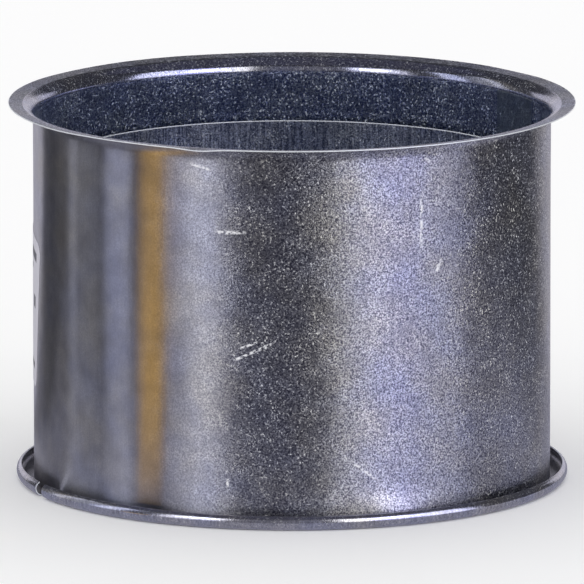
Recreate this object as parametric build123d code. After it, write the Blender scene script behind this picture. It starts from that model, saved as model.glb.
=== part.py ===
# Wall thimble: two sheet-metal sleeves that slide one inside the other through a wall.
import math
import os
from build123d import *

# Galvanised sheet, the same gauge for both sleeves.
sheet_thickness = 0.5

# Stovepipe that slips through, and the room left all round it.
pipe_diameter = 152.4
pipe_clearance = 0.3

# Inner sleeve: its height, the bend at its foot and the lip curled up into a gutter.
inner_height = 102.2
foot_bend_radius = 4.0
gutter_room = 2.4
curl_radius = 3.2
curl_angle = 156.0

# Outer sleeve: it stands on the gutter's floor, clear of the foot's bend.
outer_height = 121.9
seat_clearance = 0.9
flange_bend_radius = 4.0
flange_flat = 3.85

# Lap seams, where each rolled sheet runs over its own end, and the split in the lip.
outer_lap_width = 23.0
outer_lap_direction = 28.0
inner_lap_width = 21.5
lip_split_direction = -156.2
lip_split_width = 4.5

# Paper label, stuck on slightly askew.
label_width = 60.0
label_height = 48.5
label_thickness = 0.15
label_corner = 4.0
label_tilt = 9.0
label_direction = 171.3
label_centre_height = 59.3

# Radii and heights that follow from the sizes above.
bore_radius = pipe_diameter / 2 + pipe_clearance
inner_radius = bore_radius + sheet_thickness
floor_start = inner_radius + foot_bend_radius
outer_bore_radius = floor_start + sheet_thickness + seat_clearance
outer_radius = outer_bore_radius + sheet_thickness
flange_start = outer_radius + flange_bend_radius
flange_radius = flange_start + flange_flat
curl_centre = outer_radius + gutter_room
lip_radius = curl_centre + curl_radius
gutter_floor = sheet_thickness
foot_turn_radius = foot_bend_radius + sheet_thickness
flange_underside = gutter_floor + outer_height - sheet_thickness
flange_bend_height = flange_underside - flange_bend_radius

# Angles in degrees, and the chord angle that keeps a bend within 0.04 mm of its arc.
full_turn = 360
half_turn = 180
quarter_turn = 90
chord_angle = 15


def bend(centre, radius, start, turn):
    # A bend's edges: even chords of its arc, none turning more than the chord angle.
    arc = CenterArc(centre, radius, start, turn)
    chords = math.ceil(abs(turn) / chord_angle)
    return Polyline(*[arc @ (chord / chords) for chord in range(chords + 1)]).edges()


def wall_line(depth):
    # Outer sleeve's line at a depth into the sheet: up the wall to where its bend starts.
    wall_radius = outer_radius - depth
    return [Line((wall_radius, gutter_floor), (wall_radius, flange_bend_height))]


def outer_line(depth):
    # The whole of that line: on round the bend and out along the flange.
    flange_height = flange_underside + depth
    turn = bend((flange_start, flange_bend_height), flange_bend_radius + depth, half_turn, -quarter_turn)
    flange = Line((flange_start, flange_height), (flange_radius, flange_height))
    return [*wall_line(depth), *turn, flange]


def foot_line(depth):
    # Inner sleeve's line at a depth from the bore: down the wall and round the foot.
    wall_radius = bore_radius + depth
    wall = Line((wall_radius, inner_height), (wall_radius, foot_turn_radius))
    turn = bend((floor_start, foot_turn_radius), foot_turn_radius - depth, half_turn, quarter_turn)
    return [wall, *turn]


def inner_line(depth):
    # The whole of that line: on along the gutter's floor and up round the curl.
    gutter = Line((floor_start, depth), (curl_centre, depth))
    curl = bend((curl_centre, curl_radius), curl_radius - depth, -quarter_turn, curl_angle)
    return [*foot_line(depth), gutter, *curl]


def sheet_section(line, layers):
    # Section of the sheet between its face and one layer's depth, or two at a lap.
    face = Wire(line(0))
    back = Wire(line(layers * sheet_thickness))
    ends = [Line(face @ end, back @ end) for end in (0, 1)]
    return Plane.XZ * make_face([*face.edges(), *back.edges(), *ends])


def rolled(line, start):
    # The sheet bent into a whole ring round the upright axis, with its seam in the given direction.
    return Rot(0, 0, start) * revolve(sheet_section(line, 1), Axis.Z, full_turn)


def lap(line, width, radius, middle):
    # The stretch where the sheet lies double, facing the given direction.
    angle = math.degrees(width / radius)
    return Rot(0, 0, middle - angle / 2) * revolve(sheet_section(line, 2), Axis.Z, angle)


outer_sleeve = rolled(outer_line, outer_lap_direction)
outer_sleeve += lap(wall_line, outer_lap_width, outer_radius, outer_lap_direction)
outer_sleeve.label = "outer_sleeve"

# The lip's split runs from the gutter's floor out through the curl.
split_size = (lip_radius, lip_split_width, lip_radius)
split_block = Pos(floor_start, 0, 0) * Box(*split_size, align=(Align.MIN, Align.CENTER, Align.CENTER))
lip_split = Rot(0, 0, lip_split_direction) * split_block

inner_sleeve = rolled(inner_line, lip_split_direction) - lip_split
inner_sleeve += lap(foot_line, inner_lap_width, bore_radius, lip_split_direction)
inner_sleeve.label = "inner_sleeve"

# Label: a rounded rectangle of paper bent round the outer sleeve.
label_size = (label_width, label_height, label_corner)
label_shape = Rot(0, 0, -label_tilt) * RectangleRounded(*label_size)
label_block = extrude(Plane.YZ * label_shape, outer_radius + label_thickness)
label_place = Rot(0, 0, label_direction) * Pos(0, 0, label_centre_height)
label_ring = Cylinder(outer_radius + label_thickness, outer_height) - Cylinder(outer_radius, outer_height)
label = label_place * label_block & Pos(0, 0, gutter_floor + outer_height / 2) * label_ring
label.label = "label"

os.makedirs("parts", exist_ok=True)
export_step(outer_sleeve, "parts/outer_sleeve.step")
export_step(inner_sleeve, "parts/inner_sleeve.step")
export_step(label, "parts/label.step")
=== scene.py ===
import math
import bmesh
import bpy
from mathutils import Matrix, Vector, noise


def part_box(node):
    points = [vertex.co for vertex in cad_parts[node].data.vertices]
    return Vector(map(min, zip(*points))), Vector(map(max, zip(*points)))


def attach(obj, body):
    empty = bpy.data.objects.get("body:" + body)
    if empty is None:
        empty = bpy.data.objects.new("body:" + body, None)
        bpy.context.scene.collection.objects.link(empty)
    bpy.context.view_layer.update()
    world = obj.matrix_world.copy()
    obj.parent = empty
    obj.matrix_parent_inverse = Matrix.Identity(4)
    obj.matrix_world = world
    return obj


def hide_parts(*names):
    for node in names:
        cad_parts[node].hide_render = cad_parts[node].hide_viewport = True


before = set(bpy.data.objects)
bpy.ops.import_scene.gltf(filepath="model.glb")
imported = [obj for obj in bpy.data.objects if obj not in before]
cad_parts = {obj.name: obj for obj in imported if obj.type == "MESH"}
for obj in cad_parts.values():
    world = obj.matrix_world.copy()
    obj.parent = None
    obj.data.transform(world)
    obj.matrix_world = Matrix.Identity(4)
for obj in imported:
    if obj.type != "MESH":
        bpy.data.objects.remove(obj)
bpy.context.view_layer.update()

# Inner sleeve: a strip of galvanised sheet rolled and lapped into a tube that a stovepipe slips through.
# Its foot is turned out and curled up into a lip, which is split where the strip's ends meet.
# Its upper end is cut straight, and its burr is a band of pale bare steel, partly a painted highlight, that
# shows as a bright line inside the outer sleeve.
sheet_thickness = 0.0005
edge_rounding = 0.0002
bore_radius = 0.0765
foot_bend_radius = 0.0045
curl_radius = 0.0025
curl_turn = math.radians(156)
lip_split_direction = math.radians(-156.2)
lip_split_columns = 3
inner_lap_turn = math.radians(16)
turn_steps = 360
inner_wall_steps = 24
foot_bend_steps = 6
gutter_steps = 2
curl_steps = 14
inner_low, inner_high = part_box("inner_sleeve")
inner_top = inner_high.z
burr_height = 0.0003
gutter_start = bore_radius + foot_bend_radius
curl_centre = inner_high.x - curl_radius


def draw_straight(sheet, tip, radius, height, pieces):
    """Draws a sheet's section straight on from its tip to a radius and a height."""
    step = (Vector((radius, 0, height)) - tip.co) / pieces
    for _ in range(pieces):
        tip = bmesh.ops.extrude_vert_indiv(sheet, verts=[tip])["verts"][0]
        tip.co += step
    return tip


def draw_bend(sheet, tip, radius, height, turn, pieces):
    """Draws a sheet's section on round a bend, whose centre is at a radius and a height."""
    centre = (radius, 0, height)
    arc = bmesh.ops.spin(sheet, geom=[tip], cent=centre, axis=(0, 1, 0), angle=turn, steps=pieces)
    return next(part for part in arc["geom_last"] if isinstance(part, bmesh.types.BMVert))


def roll_up(sheet, turn, start, facing):
    """Rolls a drawn section round the upright axis, its wall facing outwards or, with -1, inwards."""
    steps = round(turn_steps * turn / math.tau)
    section = sheet.verts[:] + sheet.edges[:]
    bmesh.ops.spin(sheet, geom=section, cent=(0, 0, 0), axis=(0, 0, 1), angle=turn, steps=steps,
                   use_merge=steps == turn_steps)
    bmesh.ops.remove_doubles(sheet, verts=sheet.verts, dist=sheet_thickness / 50)
    bmesh.ops.recalc_face_normals(sheet, faces=sheet.faces)
    wall = min(sheet.faces, key=lambda face: face.calc_center_median().xy.length)
    if wall.normal.dot(wall.calc_center_median()) * facing < 0:
        bmesh.ops.reverse_faces(sheet, faces=sheet.faces)
    bmesh.ops.rotate(sheet, cent=(0, 0, 0), matrix=Matrix.Rotation(start, 3, "Z"), verts=sheet.verts)


def lay_on(sheet, layer):
    """Lays a lap's layer on its sheet, as one mesh."""
    held = bpy.data.meshes.new("lap")
    layer.to_mesh(held)
    layer.free()
    sheet.from_mesh(held)
    bpy.data.meshes.remove(held)


def unroll(sheet, wall_radius):
    """Maps a rolled sheet on to its flat strip, in metres along the strip and up it."""
    flat = sheet.loops.layers.uv.new("strip")
    for face in sheet.faces:
        middle = face.calc_center_median()
        along = math.atan2(middle.y, middle.x)
        for loop in face.loops:
            spot = loop.vert.co
            aside = (math.atan2(spot.y, spot.x) - along + math.pi) % math.tau - math.pi
            loop[flat].uv = ((along + aside) * wall_radius, spot.z + spot.xy.length - wall_radius)


def make_piece(name, sheet, finishes):
    """Makes an object of a mesh, shaded smooth, with its finishes in order."""
    mesh = bpy.data.meshes.new(name)
    sheet.to_mesh(mesh)
    sheet.free()
    mesh.shade_smooth()
    for finish in finishes:
        mesh.materials.append(finish)
    piece = bpy.data.objects.new(name, mesh)
    bpy.context.collection.objects.link(piece)
    return piece


def give_gauge(piece, thickness):
    """Gives a sheet its thickness; back and cut edges take the two finishes after the face's own."""
    gauge = piece.modifiers.new("gauge", "SOLIDIFY")
    gauge.thickness = thickness
    gauge.offset = -1
    gauge.material_offset = 1
    gauge.material_offset_rim = 2
    edges = piece.modifiers.new("cut edges", "BEVEL")
    edges.width = min(edge_rounding, thickness * 0.4)
    edges.segments = 2
    edges.angle_limit = math.radians(60)
    edges.harden_normals = True


def add_node(tree, kind, inputs, **settings):
    """Adds a node, sets its properties, and links or sets its inputs."""
    node = tree.nodes.new(kind)
    for name, value in settings.items():
        setattr(node, name, value)
    for name, value in inputs.items():
        if isinstance(value, bpy.types.NodeSocket):
            tree.links.new(value, node.inputs[name])
        else:
            node.inputs[name].default_value = value
    return node


def reckon(tree, operation, *values):
    """Adds a node that reckons a number from one, two or three others."""
    return add_node(tree, "ShaderNodeMath", dict(enumerate(values)), operation=operation).outputs[0]


def rescale(tree, value, low, high, new_low, new_high):
    """Adds a node that moves a number from one range to another and stops it there."""
    ends = {"Value": value, "From Min": low, "From Max": high, "To Min": new_low, "To Max": new_high}
    return add_node(tree, "ShaderNodeMapRange", ends).outputs[0]


def new_group(name, inputs, outputs):
    """Starts a node group with named sockets."""
    group = bpy.data.node_groups.new(name, "ShaderNodeTree")
    for socket, kind in inputs:
        group.interface.new_socket(socket, in_out="INPUT", socket_type=kind)
    for socket, kind in outputs:
        group.interface.new_socket(socket, in_out="OUTPUT", socket_type=kind)
    return group, group.nodes.new("NodeGroupInput").outputs, group.nodes.new("NodeGroupOutput").inputs


def make_zinc_coat():
    """Node group of a hot-dip zinc coat: patches of fine flecks, a few bright glints and rolling streaks."""
    inputs = [("Streaks", "NodeSocketFloat"), ("Grain", "NodeSocketFloat")]
    outputs = [("Shine", "NodeSocketFloat"), ("Metal", "NodeSocketFloat"),
               ("Height", "NodeSocketFloat"), ("Tint", "NodeSocketColor")]
    group, given, result = new_group("zinc coat", inputs, outputs)
    spot = add_node(group, "ShaderNodeTexCoord", {}).outputs["Object"]
    drawn_out = {"Vector": spot, "Scale": (1, 1, 0.08)}
    upright = add_node(group, "ShaderNodeMapping", drawn_out).outputs["Vector"]
    grain_noise = {"Vector": spot, "Scale": 1900, "Detail": 4, "Roughness": 0.65}
    grains = add_node(group, "ShaderNodeTexNoise", grain_noise).outputs["Fac"]
    glint_noise = {"Vector": spot, "Scale": 1400, "Detail": 3}
    glints = add_node(group, "ShaderNodeTexNoise", glint_noise).outputs["Fac"]
    streak_noise = {"Vector": upright, "Scale": 1500, "Detail": 2}
    streaks = add_node(group, "ShaderNodeTexNoise", streak_noise).outputs["Fac"]
    cloud_noise = {"Vector": spot, "Scale": 130, "Detail": 3}
    clouds = add_node(group, "ShaderNodeTexNoise", cloud_noise).outputs["Fac"]
    patchy = reckon(group, "MULTIPLY", given["Grain"], rescale(group, clouds, 0.35, 0.65, 0.85, 1.4))
    fleck = reckon(group, "MULTIPLY", rescale(group, grains, 0.38, 0.66, -0.5, 0.5), patchy)
    streak = reckon(group, "MULTIPLY", rescale(group, streaks, 0.3, 0.7, -0.5, 0.5), given["Streaks"])
    cloud = rescale(group, clouds, 0.3, 0.7, 0.4, 0.6)
    group.links.new(reckon(group, "ADD", reckon(group, "ADD", fleck, streak), cloud), result["Shine"])
    glint = reckon(group, "MULTIPLY", rescale(group, glints, 0.56, 0.68, 0, 0.65), patchy)
    group.links.new(reckon(group, "SUBTRACT", 1, glint), result["Metal"])
    group.links.new(reckon(group, "MULTIPLY_ADD", grains, patchy, streak), result["Height"])
    bluish = (0.90, 0.92, 1, 1)
    yellowish = (1, 0.98, 0.92, 1)
    hue_noise = {"Vector": spot, "Scale": 60, "Detail": 4}
    hues = add_node(group, "ShaderNodeTexNoise", hue_noise).outputs["Fac"]
    yellowing = rescale(group, hues, 0.35, 0.65, 0, 1)
    tint = add_node(group, "ShaderNodeMix", {"Factor": yellowing}, data_type="RGBA")
    tint.inputs["A"].default_value = bluish
    tint.inputs["B"].default_value = yellowish
    group.links.new(tint.outputs["Result"], result["Tint"])
    return group


zinc_coat = make_zinc_coat()


def galvanise(name, streaks, grain, depth, roughness, dull, bright, brushed=0, brush_turn=0):
    """Makes a zinc finish between two tones, more or less streaked, grained, deep, rough and brushed."""
    finish = bpy.data.materials.new(name)
    finish.use_nodes = True
    tree = finish.node_tree
    shader = tree.nodes["Principled BSDF"]
    shader.inputs["Roughness"].default_value = roughness
    shader.inputs["Anisotropic"].default_value = brushed
    shader.inputs["Anisotropic Rotation"].default_value = brush_turn
    coat = add_node(tree, "ShaderNodeGroup", {}, node_tree=zinc_coat)
    coat.inputs["Streaks"].default_value = streaks
    coat.inputs["Grain"].default_value = grain
    tone = add_node(tree, "ShaderNodeMix", {"Factor": coat.outputs["Shine"]}, data_type="RGBA")
    tone.inputs["A"].default_value = (*dull, 1)
    tone.inputs["B"].default_value = (*bright, 1)
    relief = {"Height": coat.outputs["Height"], "Strength": 1, "Distance": depth}
    bump = add_node(tree, "ShaderNodeBump", relief)
    hue = add_node(tree, "ShaderNodeMix", {"Factor": 1}, data_type="RGBA", blend_type="MULTIPLY")
    tree.links.new(tone.outputs["Result"], hue.inputs["A"])
    tree.links.new(coat.outputs["Tint"], hue.inputs["B"])
    tree.links.new(hue.outputs["Result"], shader.inputs["Base Color"])
    tree.links.new(coat.outputs["Metal"], shader.inputs["Metallic"])
    tree.links.new(bump.outputs["Normal"], shader.inputs["Normal"])
    return finish


def make_bare_edge_and_painted_highlight():
    """Finish of a sheared cut edge: bare steel, paler and rougher than the coat, and mostly not metal, so
    that it shows as a bright line: partly a painted highlight.
    """
    finish = bpy.data.materials.new("sheared edge with painted highlight")
    finish.use_nodes = True
    tree = finish.node_tree
    shader = tree.nodes["Principled BSDF"]
    shader.inputs["Metallic"].default_value = 0.25
    shader.inputs["Roughness"].default_value = 0.4
    spot = add_node(tree, "ShaderNodeTexCoord", {}).outputs["Object"]
    burrs = add_node(tree, "ShaderNodeTexNoise", {"Vector": spot, "Scale": 600, "Detail": 2})
    tone = add_node(tree, "ShaderNodeMix", {"Factor": burrs.outputs["Fac"]}, data_type="RGBA")
    tone.inputs["A"].default_value = (0.62, 0.65, 0.70, 1)
    tone.inputs["B"].default_value = (0.92, 0.94, 0.98, 1)
    tree.links.new(tone.outputs["Result"], shader.inputs["Base Color"])
    return finish


def draw_inner(layer):
    """Draws the bore side of the inner sleeve's wall and foot, that many layers out from the bore."""
    sheet = bmesh.new()
    out = layer * sheet_thickness
    tip = sheet.verts.new((bore_radius + out, 0, inner_top))
    tip = draw_straight(sheet, tip, bore_radius + out, inner_top - burr_height, 1)
    tip = draw_straight(sheet, tip, bore_radius + out, foot_bend_radius, inner_wall_steps)
    return sheet, draw_bend(sheet, tip, gutter_start, foot_bend_radius, -math.pi / 2, foot_bend_steps)


inner_sheet, tip = draw_inner(0)
tip = draw_straight(inner_sheet, tip, curl_centre, 0, gutter_steps)
draw_bend(inner_sheet, tip, curl_centre, curl_radius, -curl_turn, curl_steps)
roll_up(inner_sheet, math.tau, lip_split_direction + math.pi / turn_steps, -1)
split_half_width = inner_high.x * math.pi * lip_split_columns / turn_steps
split_faces = []
for face in inner_sheet.faces:
    middle = Matrix.Rotation(-lip_split_direction, 3, "Z") @ face.calc_center_median()
    if middle.x > gutter_start and abs(middle.y) < split_half_width:
        split_faces.append(face)
bmesh.ops.delete(inner_sheet, geom=split_faces, context="FACES")
inner_lap = draw_inner(1)[0]
roll_up(inner_lap, inner_lap_turn, lip_split_direction - inner_lap_turn / 2, -1)
lay_on(inner_sheet, inner_lap)
unroll(inner_sheet, bore_radius)
# Cut edges and the burr band take pale, mostly non-metal bare steel: partly a painted highlight.
bare_edge_and_painted_highlight = make_bare_edge_and_painted_highlight()
streaky_zinc = galvanise("streaky zinc", streaks=0.7, grain=1, depth=0.00006, roughness=0.28,
                         dull=(0.12, 0.14, 0.21), bright=(0.88, 0.92, 1))
lip_zinc = galvanise("lip zinc", streaks=0.3, grain=0.3, depth=0.00003, roughness=0.18,
                     dull=(0.34, 0.34, 0.38), bright=(0.98, 0.98, 1))
# The gutter's zinc is far darker than the rest: painted shade in the recess between the lip and the outer
# sleeve's foot.
gutter_zinc_painted_shade = galvanise("gutter zinc with painted shade", streaks=0.2, grain=0.8, depth=0.00005, roughness=0.28,
                        dull=(0.04, 0.04, 0.05), bright=(0.5, 0.5, 0.55))
# The finishes come in threes: a face's own, its back's and its cut edge's.
lip_finish = 3
# The burr band's pale finish is partly a painted highlight.
burr_painted_highlight_finish = 6
for face in inner_sheet.faces:
    if face.calc_center_median().xy.length > gutter_start:
        face.material_index = lip_finish
    elif face.calc_center_median().z > inner_top - burr_height:
        face.material_index = burr_painted_highlight_finish
inner_finishes = [streaky_zinc, streaky_zinc, bare_edge_and_painted_highlight, lip_zinc, gutter_zinc_painted_shade, bare_edge_and_painted_highlight]
inner_finishes += [bare_edge_and_painted_highlight, bare_edge_and_painted_highlight, bare_edge_and_painted_highlight]
inner_sleeve = make_piece("inner_sleeve_sheet", inner_sheet, inner_finishes)
give_gauge(inner_sleeve, sheet_thickness)
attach(inner_sleeve, "inner")
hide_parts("inner_sleeve")

# Outer sleeve: the same sheet rolled wider, with its own lap seam, standing in the inner sleeve's gutter.
# Its upper end is turned out into a narrow flange that rises to its edge, a little wavy and dented once.
# Handling has knocked its foot outwards in two places and left scratches on its outside.
outer_low, outer_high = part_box("outer_sleeve")
outer_radius = 0.0829
flange_bend_radius = 0.004
flange_radius = outer_high.x
flange_underside = outer_high.z - sheet_thickness
flange_start = outer_radius + flange_bend_radius
flange_turn = math.radians(82)
flange_root = flange_start - flange_bend_radius * math.cos(flange_turn)
flange_rise = (flange_radius - flange_root) / math.tan(flange_turn)
bend_start = flange_underside - flange_rise - flange_bend_radius * math.sin(flange_turn)
outer_lap_direction = math.radians(28)
outer_lap_turn = math.radians(16)
outer_wall_steps = 60
flange_bend_steps = 9
flange_steps = 4
edge_wave = 0.0004
edge_wave_pace = 3
dent_depth = 0.0007
dent_direction = math.radians(-109)
dent_spread = math.radians(4)
wall_wave = 0.00012
wall_wave_length = 0.035
wall_wave_stretch = 0.6
foot_dent_up = 0.0038
foot_dent_height = 0.0045
# Direction, spread and depth of each knock.
foot_dents = (
    (math.radians(-65.5), math.radians(8.5), 0.0018),
    (math.radians(-151.6), math.radians(3.5), 0.0008),
)


def draw_wall(layer):
    """Draws the outside of the outer sleeve's wall, that many layers in from the outside."""
    sheet = bmesh.new()
    radius = outer_radius - layer * sheet_thickness
    tip = sheet.verts.new((radius, 0, outer_low.z))
    return sheet, draw_straight(sheet, tip, radius, bend_start, outer_wall_steps)


def wall_swell(spot):
    """How far the wall swells out or in at a spot, less towards its ends."""
    round_spot = Vector((spot.x, spot.y, spot.z * wall_wave_stretch)) / wall_wave_length
    ends = min(spot.z, flange_underside - spot.z) / wall_wave_length
    return wall_wave * noise.noise(round_spot) * max(0, min(1, 2 * ends))


def foot_dent(spot):
    """How far the wall's lower edge is knocked outwards at a spot."""
    low = math.exp(-((spot.z - foot_dent_up) / foot_dent_height) ** 2)
    around = Vector((spot.x, spot.y, 0))
    out = 0
    for direction, spread, depth in foot_dents:
        away = Vector((math.cos(direction), math.sin(direction), 0)).angle(around)
        out += depth * math.exp(-(away / spread) ** 2)
    return out * low


def flange_dip(spot):
    """How far the flange's edge dips at a spot, from its waves and its dent."""
    reach = max(0, (spot.xy.length - flange_start) / (flange_radius - flange_start))
    around = Vector((spot.x, spot.y, 0))
    wave = edge_wave * min(0, noise.noise(around.normalized() * edge_wave_pace))
    away = Vector((math.cos(dent_direction), math.sin(dent_direction), 0)).angle(around)
    return reach * (wave - dent_depth * math.exp(-(away / dent_spread) ** 2))


outer_sheet, tip = draw_wall(0)
tip = draw_bend(outer_sheet, tip, flange_start, bend_start, flange_turn, flange_bend_steps)
draw_straight(outer_sheet, tip, flange_radius, flange_underside, flange_steps)
roll_up(outer_sheet, math.tau, outer_lap_direction, 1)
outer_lap = draw_wall(1)[0]
roll_up(outer_lap, outer_lap_turn, outer_lap_direction - outer_lap_turn / 2, 1)
lap_finish = 6
for face in outer_lap.faces:
    face.material_index = lap_finish
lay_on(outer_sheet, outer_lap)
unroll(outer_sheet, outer_radius)
for vert in outer_sheet.verts:
    swell = wall_swell(vert.co) + foot_dent(vert.co)
    vert.co.z += flange_dip(vert.co)
    vert.co.xy *= 1 + swell / vert.co.xy.length


def make_scratch():
    """Node group of one broken scratch at a place on the strip, with its lean, length and width."""
    kinds = [(name, "NodeSocketFloat") for name in ("Along", "Up", "Lean", "Length", "Width")]
    group, given, result = new_group("scratch", kinds, [("Mask", "NodeSocketFloat")])
    strip = add_node(group, "ShaderNodeUVMap", {}, uv_map="strip").outputs["UV"]
    place = add_node(group, "ShaderNodeCombineXYZ", {"X": given["Along"], "Y": given["Up"]}).outputs[0]
    away = add_node(group, "ShaderNodeVectorMath", {0: strip, 1: place}, operation="SUBTRACT").outputs[0]
    lean = reckon(group, "MULTIPLY", given["Lean"], -1)
    turned = add_node(group, "ShaderNodeVectorRotate", {"Vector": away, "Angle": lean},
                      rotation_type="Z_AXIS")
    sides = add_node(group, "ShaderNodeSeparateXYZ", {"Vector": turned.outputs[0]})
    reach = reckon(group, "DIVIDE", reckon(group, "ABSOLUTE", sides.outputs["X"]), given["Length"])
    aside = reckon(group, "DIVIDE", reckon(group, "ABSOLUTE", sides.outputs["Y"]), given["Width"])
    crumb_noise = {"Vector": strip, "Scale": 900, "Detail": 2}
    crumbs = add_node(group, "ShaderNodeTexNoise", crumb_noise).outputs["Fac"]
    along_line = rescale(group, reach, 0.35, 0.5, 1, 0)
    across_line = rescale(group, aside, 0.2, 0.5, 1, 0)
    line = reckon(group, "MULTIPLY", along_line, across_line)
    broken = rescale(group, crumbs, 0.4, 0.55, 0, 1)
    group.links.new(reckon(group, "MULTIPLY", line, broken), result["Mask"])
    return group


scratch = make_scratch()
# Each scratch's degrees right of the front, height, lean in degrees, length and width.
scratches = (
    (-20.4, 0.1150, -13, 0.0080, 0.0012),
    (-13.5, 0.0945, 2, 0.0110, 0.0014),
    (-8.5, 0.0564, 25, 0.0150, 0.0012),
    (-9.5, 0.0585, 22, 0.0070, 0.0010),
    (15.1, 0.0188, -37, 0.0150, 0.0012),
    (-14.2, 0.0140, 88, 0.0030, 0.0012),
    (29.5, 0.0966, 90, 0.0190, 0.0015),
    (33.9, 0.0816, 66, 0.0050, 0.0014),
    (31.0, 0.1160, -30, 0.0030, 0.0012),
)
wall_roughness = 0.28
scuff_roughness = 0.5
scuff_metal = 0.2
scuff_colour = (0.97, 0.97, 1, 1)
quarter_turn = 0.25
left_grain = 0.12
right_grain = 1.1
fade_start = -0.045
fade_end = -0.005
scuffed_zinc = galvanise("scuffed zinc", streaks=0.05, grain=1, depth=0.00006, roughness=wall_roughness,
                         dull=(0.14, 0.14, 0.19), bright=(1, 1, 1), brushed=1, brush_turn=quarter_turn)
tree = scuffed_zinc.node_tree
shader = tree.nodes["Principled BSDF"]
scuff = 0
for right_of_front, up, lean, length, width in scratches:
    mark = add_node(tree, "ShaderNodeGroup", {}, node_tree=scratch)
    mark.inputs["Along"].default_value = math.radians(right_of_front - 90) * outer_radius
    mark.inputs["Up"].default_value = up
    mark.inputs["Lean"].default_value = math.radians(lean)
    mark.inputs["Length"].default_value = length
    mark.inputs["Width"].default_value = width
    scuff = reckon(tree, "MAXIMUM", mark.outputs["Mask"], scuff)
worn = add_node(tree, "ShaderNodeMix", {"Factor": scuff}, data_type="RGBA")
tree.links.new(shader.inputs["Base Color"].links[0].from_socket, worn.inputs["A"])
worn.inputs["B"].default_value = scuff_colour
tree.links.new(worn.outputs["Result"], shader.inputs["Base Color"])
tree.links.new(rescale(tree, scuff, 0, 1, wall_roughness, scuff_roughness), shader.inputs["Roughness"])
coat = shader.inputs["Metallic"].links[0].from_node
bared = reckon(tree, "MULTIPLY", coat.outputs["Metal"], rescale(tree, scuff, 0, 1, 1, scuff_metal))
tree.links.new(bared, shader.inputs["Metallic"])
# The flecks fade out towards the wall's left side.
spot = add_node(tree, "ShaderNodeTexCoord", {}).outputs["Object"]
across = add_node(tree, "ShaderNodeSeparateXYZ", {"Vector": spot}).outputs["X"]
flecked = rescale(tree, across, fade_start, fade_end, left_grain, right_grain)
tree.links.new(flecked, coat.inputs["Grain"])

# The inside of the outer sleeve takes a darker, bluer copy of the outside's zinc: painted shade.
inside_zinc_painted_shade = galvanise("inside zinc with painted shade", streaks=0.2, grain=1.4, depth=0.00004, roughness=0.28,
                       dull=(0.14, 0.17, 0.33), bright=(0.83, 0.90, 1), brushed=1)
bend_zinc = galvanise("bend zinc", streaks=0.2, grain=0.5, depth=0.00003, roughness=0.14,
                      dull=(0.16, 0.17, 0.24), bright=(0.9, 0.92, 1))
# The lap's inner face and cut edge take a darker zinc than the rest of the inside: painted shade along the
# lap.
lap_zinc_painted_shade = galvanise("lap zinc with painted shade", streaks=0.2, grain=0.5, depth=0.00003, roughness=0.28,
                     dull=(0.10, 0.13, 0.19), bright=(0.6, 0.68, 0.76))
flange_zinc = galvanise("flange zinc", streaks=0.2, grain=1.2, depth=0.00006, roughness=0.28,
                        dull=(0.14, 0.15, 0.21), bright=(0.88, 0.91, 1))
bend_finish = 3
flange_finish = 9
for face in outer_sheet.faces:
    if face.calc_center_median().xy.length > flange_root:
        face.material_index = flange_finish
    elif face.calc_center_median().z > bend_start:
        face.material_index = bend_finish
outer_finishes = [scuffed_zinc, inside_zinc_painted_shade, bare_edge_and_painted_highlight, scuffed_zinc, bend_zinc, bare_edge_and_painted_highlight]
outer_finishes += [scuffed_zinc, lap_zinc_painted_shade, lap_zinc_painted_shade, scuffed_zinc, flange_zinc, bare_edge_and_painted_highlight]
outer_sleeve = make_piece("outer_sleeve_sheet", outer_sheet, outer_finishes)
give_gauge(outer_sleeve, sheet_thickness)
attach(outer_sleeve, "outer")
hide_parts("outer_sleeve")

# Label: a slip of coated paper with rounded corners, stuck on the outer sleeve a little askew.
# It follows the wall's unevenness, and carries only plain bars.
label_width = 0.060
label_height = 0.0485
label_corner = 0.004
label_tilt = math.radians(9)
label_direction = math.radians(171.3)
label_up = 0.0593
paper_thickness = 0.00015
paper_roughness = 0.5
paper_colour = (0.60, 0.59, 0.66, 1)
bar_colour = (0.14, 0.14, 0.17, 1)
paper = bmesh.new()
bmesh.ops.create_grid(paper, x_segments=1, y_segments=1, size=0.5)
bmesh.ops.scale(paper, vec=(label_width, label_height, 1), verts=paper.verts)
bmesh.ops.bevel(paper, geom=paper.verts[:], offset=label_corner, segments=6, profile=0.5, affect="VERTICES",
                material=-1)
for axis, size, cuts in (((1, 0, 0), label_width, 30), ((0, 1, 0), label_height, 16)):
    for cut in range(1, cuts):
        place = Vector(axis) * size * (cut / cuts - 0.5)
        whole = paper.verts[:] + paper.edges[:] + paper.faces[:]
        bmesh.ops.bisect_plane(paper, geom=whole, plane_co=place, plane_no=axis)
flat = paper.loops.layers.uv.new("paper")
for face in paper.faces:
    for loop in face.loops:
        loop[flat].uv = loop.vert.co.xy
bmesh.ops.rotate(paper, cent=(0, 0, 0), matrix=Matrix.Rotation(-label_tilt, 3, "Z"), verts=paper.verts)
for vert in paper.verts:
    around = label_direction + vert.co.x / outer_radius
    spot = Vector((math.cos(around) * outer_radius, math.sin(around) * outer_radius, label_up + vert.co.y))
    vert.co = spot + spot.xy.normalized().to_3d() * (wall_swell(spot) + paper_thickness)
bmesh.ops.recalc_face_normals(paper, faces=paper.faces)
first_face = paper.faces[:][0]
if first_face.normal.dot(first_face.calc_center_median()) < 0:
    bmesh.ops.reverse_faces(paper, faces=paper.faces)
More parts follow.
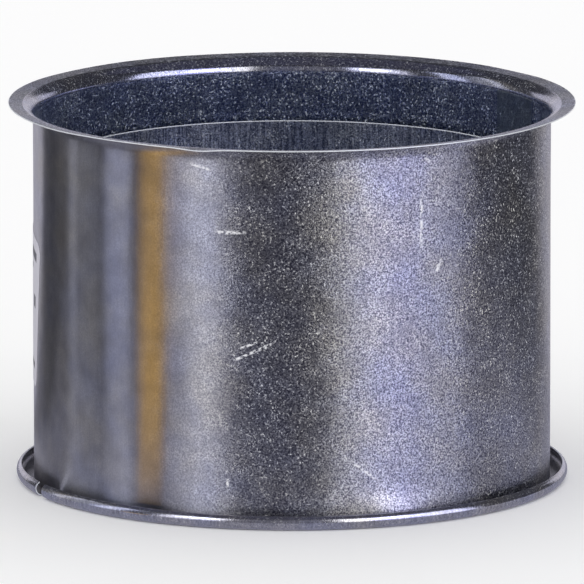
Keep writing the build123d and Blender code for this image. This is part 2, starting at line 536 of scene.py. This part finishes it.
# Each bar's middle along and up the paper, its length and its height.
bars = (
    (0, 0.0185, 0.050, 0.0030),
    (-0.004, 0.0135, 0.042, 0.0018),
    (-0.008, 0.0065, 0.036, 0.0016),
    (-0.010, 0.0025, 0.032, 0.0016),
    (0.023, 0.0035, 0.004, 0.0040),
    (-0.006, -0.0015, 0.040, 0.0016),
    (-0.012, -0.0085, 0.028, 0.0016),
    (-0.010, -0.0125, 0.032, 0.0016),
    (0.012, -0.0175, 0.028, 0.0022),
)
label_paper = bpy.data.materials.new("label paper")
label_paper.use_nodes = True
tree = label_paper.node_tree
shader = tree.nodes["Principled BSDF"]
shader.inputs["Roughness"].default_value = paper_roughness
sheet_spot = add_node(tree, "ShaderNodeUVMap", {}, uv_map="paper").outputs["UV"]
sides = add_node(tree, "ShaderNodeSeparateXYZ", {"Vector": sheet_spot})
printed = 0
for along, up, length, height in bars:
    beside = reckon(tree, "ABSOLUTE", reckon(tree, "SUBTRACT", sides.outputs["X"], along))
    above = reckon(tree, "ABSOLUTE", reckon(tree, "SUBTRACT", sides.outputs["Y"], up))
    within = reckon(tree, "MULTIPLY", reckon(tree, "LESS_THAN", beside, length / 2),
                    reckon(tree, "LESS_THAN", above, height / 2))
    printed = reckon(tree, "MAXIMUM", within, printed)
ink = add_node(tree, "ShaderNodeMix", {"Factor": printed}, data_type="RGBA")
ink.inputs["A"].default_value = paper_colour
ink.inputs["B"].default_value = bar_colour
tree.links.new(ink.outputs["Result"], shader.inputs["Base Color"])
label = make_piece("label_paper", paper, [label_paper, label_paper, label_paper])
give_gauge(label, paper_thickness)
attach(label, "outer")
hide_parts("label")

# Floor: a plain white studio sweep under the thimble.
# It reaches so far that no edge of it shows.
floor_reach = 40
floor_colour = (0.98, 0.98, 0.98, 1)
floor_paint = bpy.data.materials.new("white floor")
floor_paint.use_nodes = True
shader = floor_paint.node_tree.nodes["Principled BSDF"]
shader.inputs["Base Color"].default_value = floor_colour
shader.inputs["Roughness"].default_value = 1
floor_sheet = bmesh.new()
bmesh.ops.create_grid(floor_sheet, x_segments=1, y_segments=1, size=floor_reach)
make_piece("floor", floor_sheet, [floor_paint])

# Surround: an even white studio, which lights everything alike.
# The metal hardly mirrors it, because the tent stands in between.
surround = bpy.data.worlds.new("surround")
surround.use_nodes = True
background = surround.node_tree.nodes["Background"]
background.inputs["Color"].default_value = (1, 1, 1, 1)
background.inputs["Strength"].default_value = 1
bpy.context.scene.world = surround

# Tent: a dark drum, lid and mats round the set, with softboxes and plain panels standing against the drum.
# They show only in the metal's shine.
# Angles are in degrees round from the camera's side, left negative, and radii and heights in metres.
tent_radius = 1.3
tent_height = 1.4
panel_radius = 1.25
panel_height = 1.0
back_panel_height = 0.45
lamp_radius = 1.2
lamp_foot = 0.35
lamp_top = 0.75
lamp_colour = (5, 5, 5.3)
card_gap = 0.001
card_steps = 60
mat_height = 0.0002
foot_mat_radius = 0.12
near_mat_radius = 0.22
# Each panel's name, the angles it stands between, and its colour.
panels = (
    ("left_softbox", -56, -27, (0.95, 0.95, 1.15)),
    ("left_panel", -88, -74, (0.95, 0.98, 1.25)),
    ("left_side_panel", -105, -93, (0.36, 0.36, 0.39)),
    ("left_narrow_panel", -114, -107, (0.90, 0.90, 1.0)),
    ("left_far_panel", -125.5, -115, (0.17, 0.16, 0.15)),
    ("camera_panel", -22, 14, (0.16, 0.16, 0.20)),
    ("right_narrow_softbox", 19.5, 33, (2.1, 2.05, 2.05)),
    ("right_softbox", 33, 56, (1.25, 1.25, 2.2)),
    ("right_panel", 56, 79, (1.45, 1.45, 1.85)),
)
# Each mat's name, the angles and the radii it lies between, and its colour.
mats = (
    # The inside mat and the foot mat are painted shade: a dark floor under the tube and a grey floor round
    # its foot.
    ("painted_shade_inside_mat", 0, 360, card_gap, bore_radius, (0.09, 0.11, 0.17)),
    ("painted_shade_foot_mat", 0, 360, bore_radius, foot_mat_radius, (0.28, 0.28, 0.35)),
    ("near_mat", 15, 58, foot_mat_radius, near_mat_radius, (0.27, 0.27, 0.34)),
    ("right_near_mat", 58, 100, foot_mat_radius, near_mat_radius, (0.55, 0.55, 0.70)),
    ("back_near_mat", 100, 225, foot_mat_radius, near_mat_radius, (0.27, 0.27, 0.34)),
    ("left_dark_mat", 225, 250, foot_mat_radius, near_mat_radius, (0.08, 0.08, 0.095)),
    ("left_near_mat", 250, 340, foot_mat_radius, near_mat_radius, (0.23, 0.23, 0.29)),
    ("near_dark_mat", -20, 15, foot_mat_radius, near_mat_radius, (0.11, 0.11, 0.14)),
    ("dark_mat", -140, 140, near_mat_radius, tent_radius, (0.08, 0.08, 0.095)),
    ("back_mat", 140, 220, near_mat_radius, tent_radius, (0.42, 0.41, 0.46)),
)


def glow_in_shine(name, card, colour):
    """Makes a card of its mesh, glowing in a colour and shown only in shiny surfaces."""
    paint = bpy.data.materials.new(name)
    paint.use_nodes = True
    glow = add_node(paint.node_tree, "ShaderNodeEmission", {"Color": (*colour, 1), "Strength": 1})
    output = paint.node_tree.nodes["Material Output"]
    paint.node_tree.links.new(glow.outputs[0], output.inputs["Surface"])
    board = make_piece(name, card, [paint])
    board.visible_camera = False
    board.visible_diffuse = False
    board.visible_transmission = False
    board.visible_volume_scatter = False
    board.visible_shadow = False


def stand_round(name, start, end, near, far, foot, top, colour):
    """Stands or lays a card round the set between two angles."""
    turn = math.radians(end - start)
    placed = Matrix.Rotation(math.radians(start - 90), 3, "Z")
    card = bmesh.new()
    edge = [card.verts.new((near, 0, foot)), card.verts.new((far, 0, top))]
    edge.append(card.edges.new(edge))
    bmesh.ops.spin(card, geom=edge, cent=(0, 0, 0), axis=(0, 0, 1), angle=turn, steps=card_steps)
    bmesh.ops.rotate(card, cent=(0, 0, 0), matrix=placed, verts=card.verts)
    glow_in_shine(name, card, colour)


stand_round("dark_drum", 0, 360, tent_radius, tent_radius, 0, tent_height, (0.06, 0.06, 0.07))
stand_round("dark_lid", 0, 360, card_gap, tent_radius, tent_height, tent_height, (0.08, 0.08, 0.11))
for name, start, end, near, far, colour in mats:
    stand_round(name, start, end, near, far, mat_height, mat_height, colour)
for name, start, end, colour in panels:
    stand_round(name, start, end, panel_radius, panel_radius, card_gap, panel_height, colour)
stand_round("back_panel", 138, 219, panel_radius, panel_radius, card_gap, back_panel_height,
            (0.62, 0.60, 0.68))
stand_round("left_lamp", -46, -32, lamp_radius, lamp_radius, lamp_foot, lamp_top, lamp_colour)
stand_round("right_lamp", 36, 50, lamp_radius, lamp_radius, lamp_foot, lamp_top, lamp_colour)

# Wooden board: it lies on the floor to the left of the camera and gives the wall its warm stripe.
# Its long sides follow the way the wall mirrors, so the stripe runs straight up and down.
board_left = math.radians(-36.2)
board_right = math.radians(-30)
board_near = 0.05
board_far = 1.1
board_colour = (0.92, 0.55, 0.15)
board_corners = (
    (board_left, board_near),
    (board_right, board_near),
    (board_right, board_far),
    (board_left, board_far),
)
wooden_board = bmesh.new()
corners = []
for turn, reach in board_corners:
    foot = outer_radius * Vector((math.sin(turn), -math.cos(turn), 0))
    away = reach * Vector((math.sin(2 * turn), -math.cos(2 * turn), 0))
    corners.append(wooden_board.verts.new(foot + away + Vector((0, 0, 2 * mat_height))))
bmesh.ops.contextual_create(wooden_board, geom=corners)
glow_in_shine("wooden_board", wooden_board, board_colour)

# Camera: a long lens, a little above the rim.
# It looks slightly down at the middle of the thimble's height.
camera_distance = 4.5
camera_rise = math.radians(10.85)
camera_aim = Vector((0, 0, 0.060))
film_width_mm = 36
lens_length_mm = 865
lens = bpy.data.cameras.new("camera")
lens.sensor_width = film_width_mm
lens.lens = lens_length_mm
camera = bpy.data.objects.new("camera", lens)
camera.location = camera_aim + camera_distance * Vector((0, -math.cos(camera_rise), math.sin(camera_rise)))
camera.rotation_euler = (math.pi / 2 - camera_rise, 0, 0)
bpy.context.collection.objects.link(camera)
bpy.context.scene.camera = camera
bpy.context.scene.view_settings.view_transform = "Standard"
